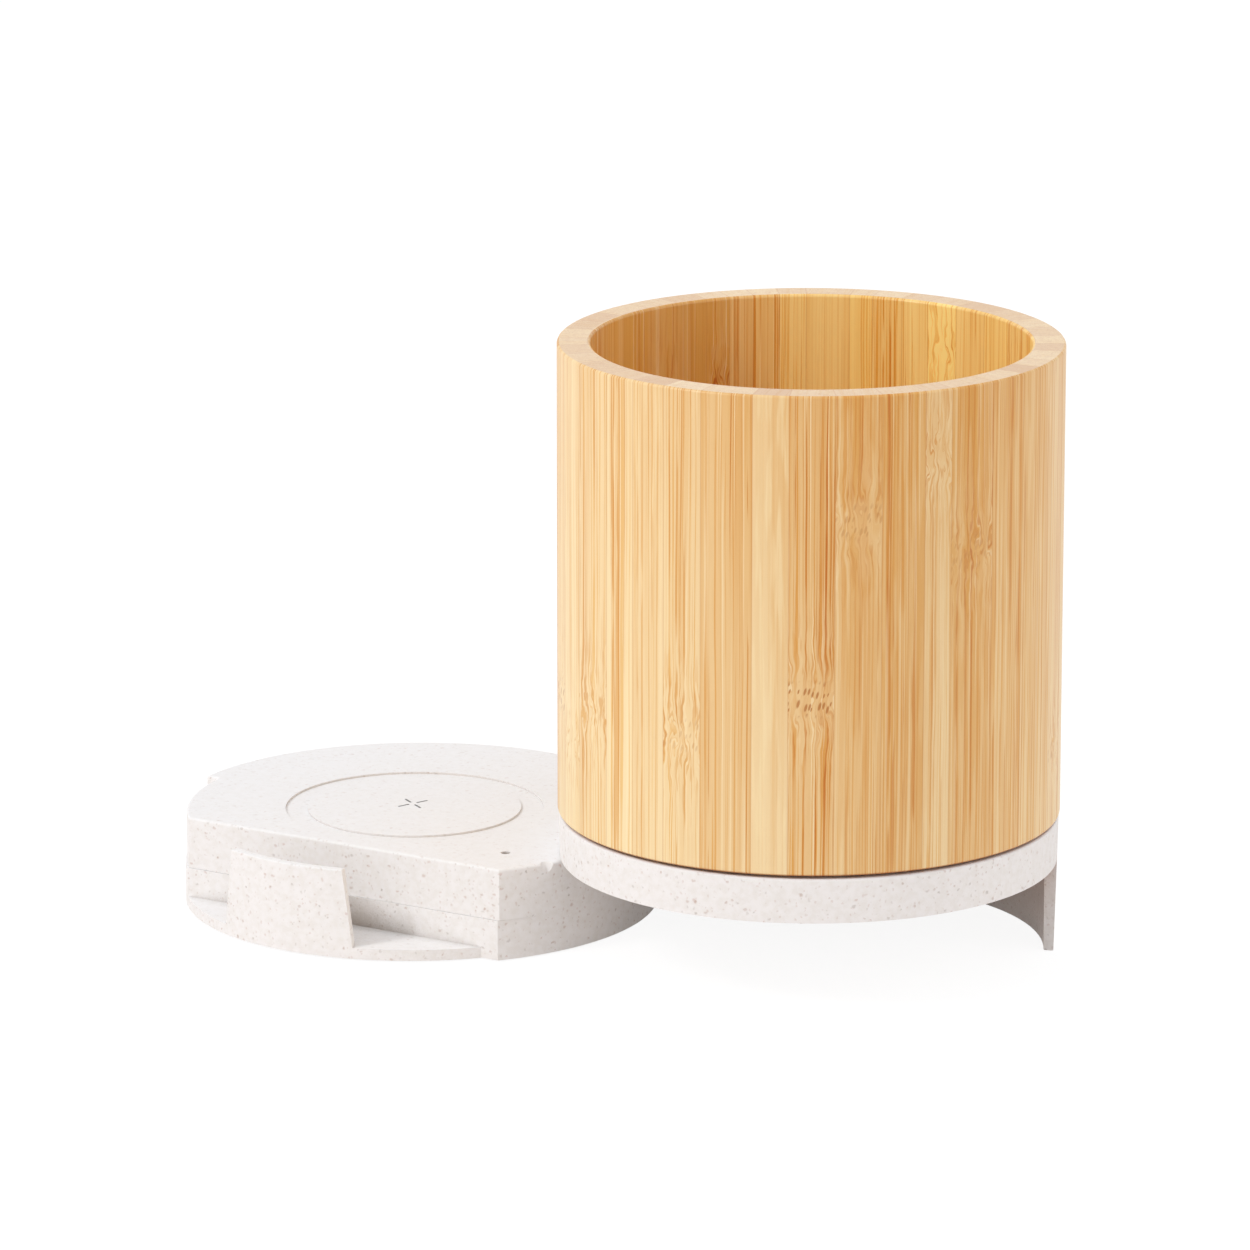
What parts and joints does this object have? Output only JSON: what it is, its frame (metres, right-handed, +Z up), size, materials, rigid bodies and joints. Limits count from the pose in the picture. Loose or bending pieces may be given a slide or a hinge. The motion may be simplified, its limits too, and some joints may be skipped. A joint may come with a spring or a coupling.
{
  "type": "pen holder",
  "caption": "Round bamboo pen cup on a plastic base that swivels off a wireless charger with a phone slot.",
  "frame": {"origin": "centre of the charger's grip pad, on the table", "axes": "+Z up; +X from the charger's centre through the swivel axis; the phone slot faces -Y"},
  "size_m": [0.1675, 0.0964, 0.1117],
  "materials": {
    "bamboo": "fine vertical strips, clear satin lacquer",
    "speckled_plastic": "off-white with fine brown and grey specks, satin",
    "silicone": "matte",
    "steel": "satin",
    "brass": "satin",
    "copper_wire": "enamelled copper wire",
    "ferrite": "dark, matte",
    "circuit_board": "green solder mask",
    "chip_black": "dark, satin",
    "capacitor_tan": "ceramic",
    "clear_plastic": "clear",
    "acetal": "smooth"
  },
  "bodies": {
    "charger": {"charger_tray": "speckled_plastic", "charger_cover": "speckled_plastic", "grip_pad": "silicone", "shell_screw_1": "steel", "shell_screw_2": "steel", "shell_screw_3": "steel", "shell_screw_4": "steel", "charging_coil": "copper_wire", "ferrite_sheet": "ferrite", "coil_lead_1": "copper_wire", "coil_lead_2": "copper_wire", "circuit_board": "circuit_board", "power_chip": "chip_black", "driver_chip_1": "chip_black", "driver_chip_2": "chip_black", "driver_chip_3": "chip_black", "power_inductor": "ferrite", "capacitor_1": "capacitor_tan", "capacitor_2": "capacitor_tan", "capacitor_3": "capacitor_tan", "capacitor_4": "capacitor_tan", "capacitor_5": "capacitor_tan", "capacitor_6": "capacitor_tan", "status_lamp": "clear_plastic", "light_pipe": "clear_plastic", "inlet_shell": "steel", "inlet_insert": "chip_black"},
    "cup": {"bamboo_cup": "bamboo", "cup_floor": "bamboo", "cup_screw_1": "steel", "cup_screw_2": "steel", "cup_screw_3": "steel", "swivel_base": "speckled_plastic", "base_underplate": "speckled_plastic", "underplate_screw_1": "steel", "underplate_screw_2": "steel", "underplate_screw_3": "steel", "pivot_screw": "steel", "pivot_insert": "brass", "spring_washer": "steel", "thrust_washer": "acetal"}
  },
  "joints": [
    {"name": "cup_swivel", "type": "hinge", "parent": "charger", "child": "cup", "pos_m": [0.03945, 0, 0.0172], "axis": [0, 0, 1], "range_deg": [-193.6, 2]}
  ]
}
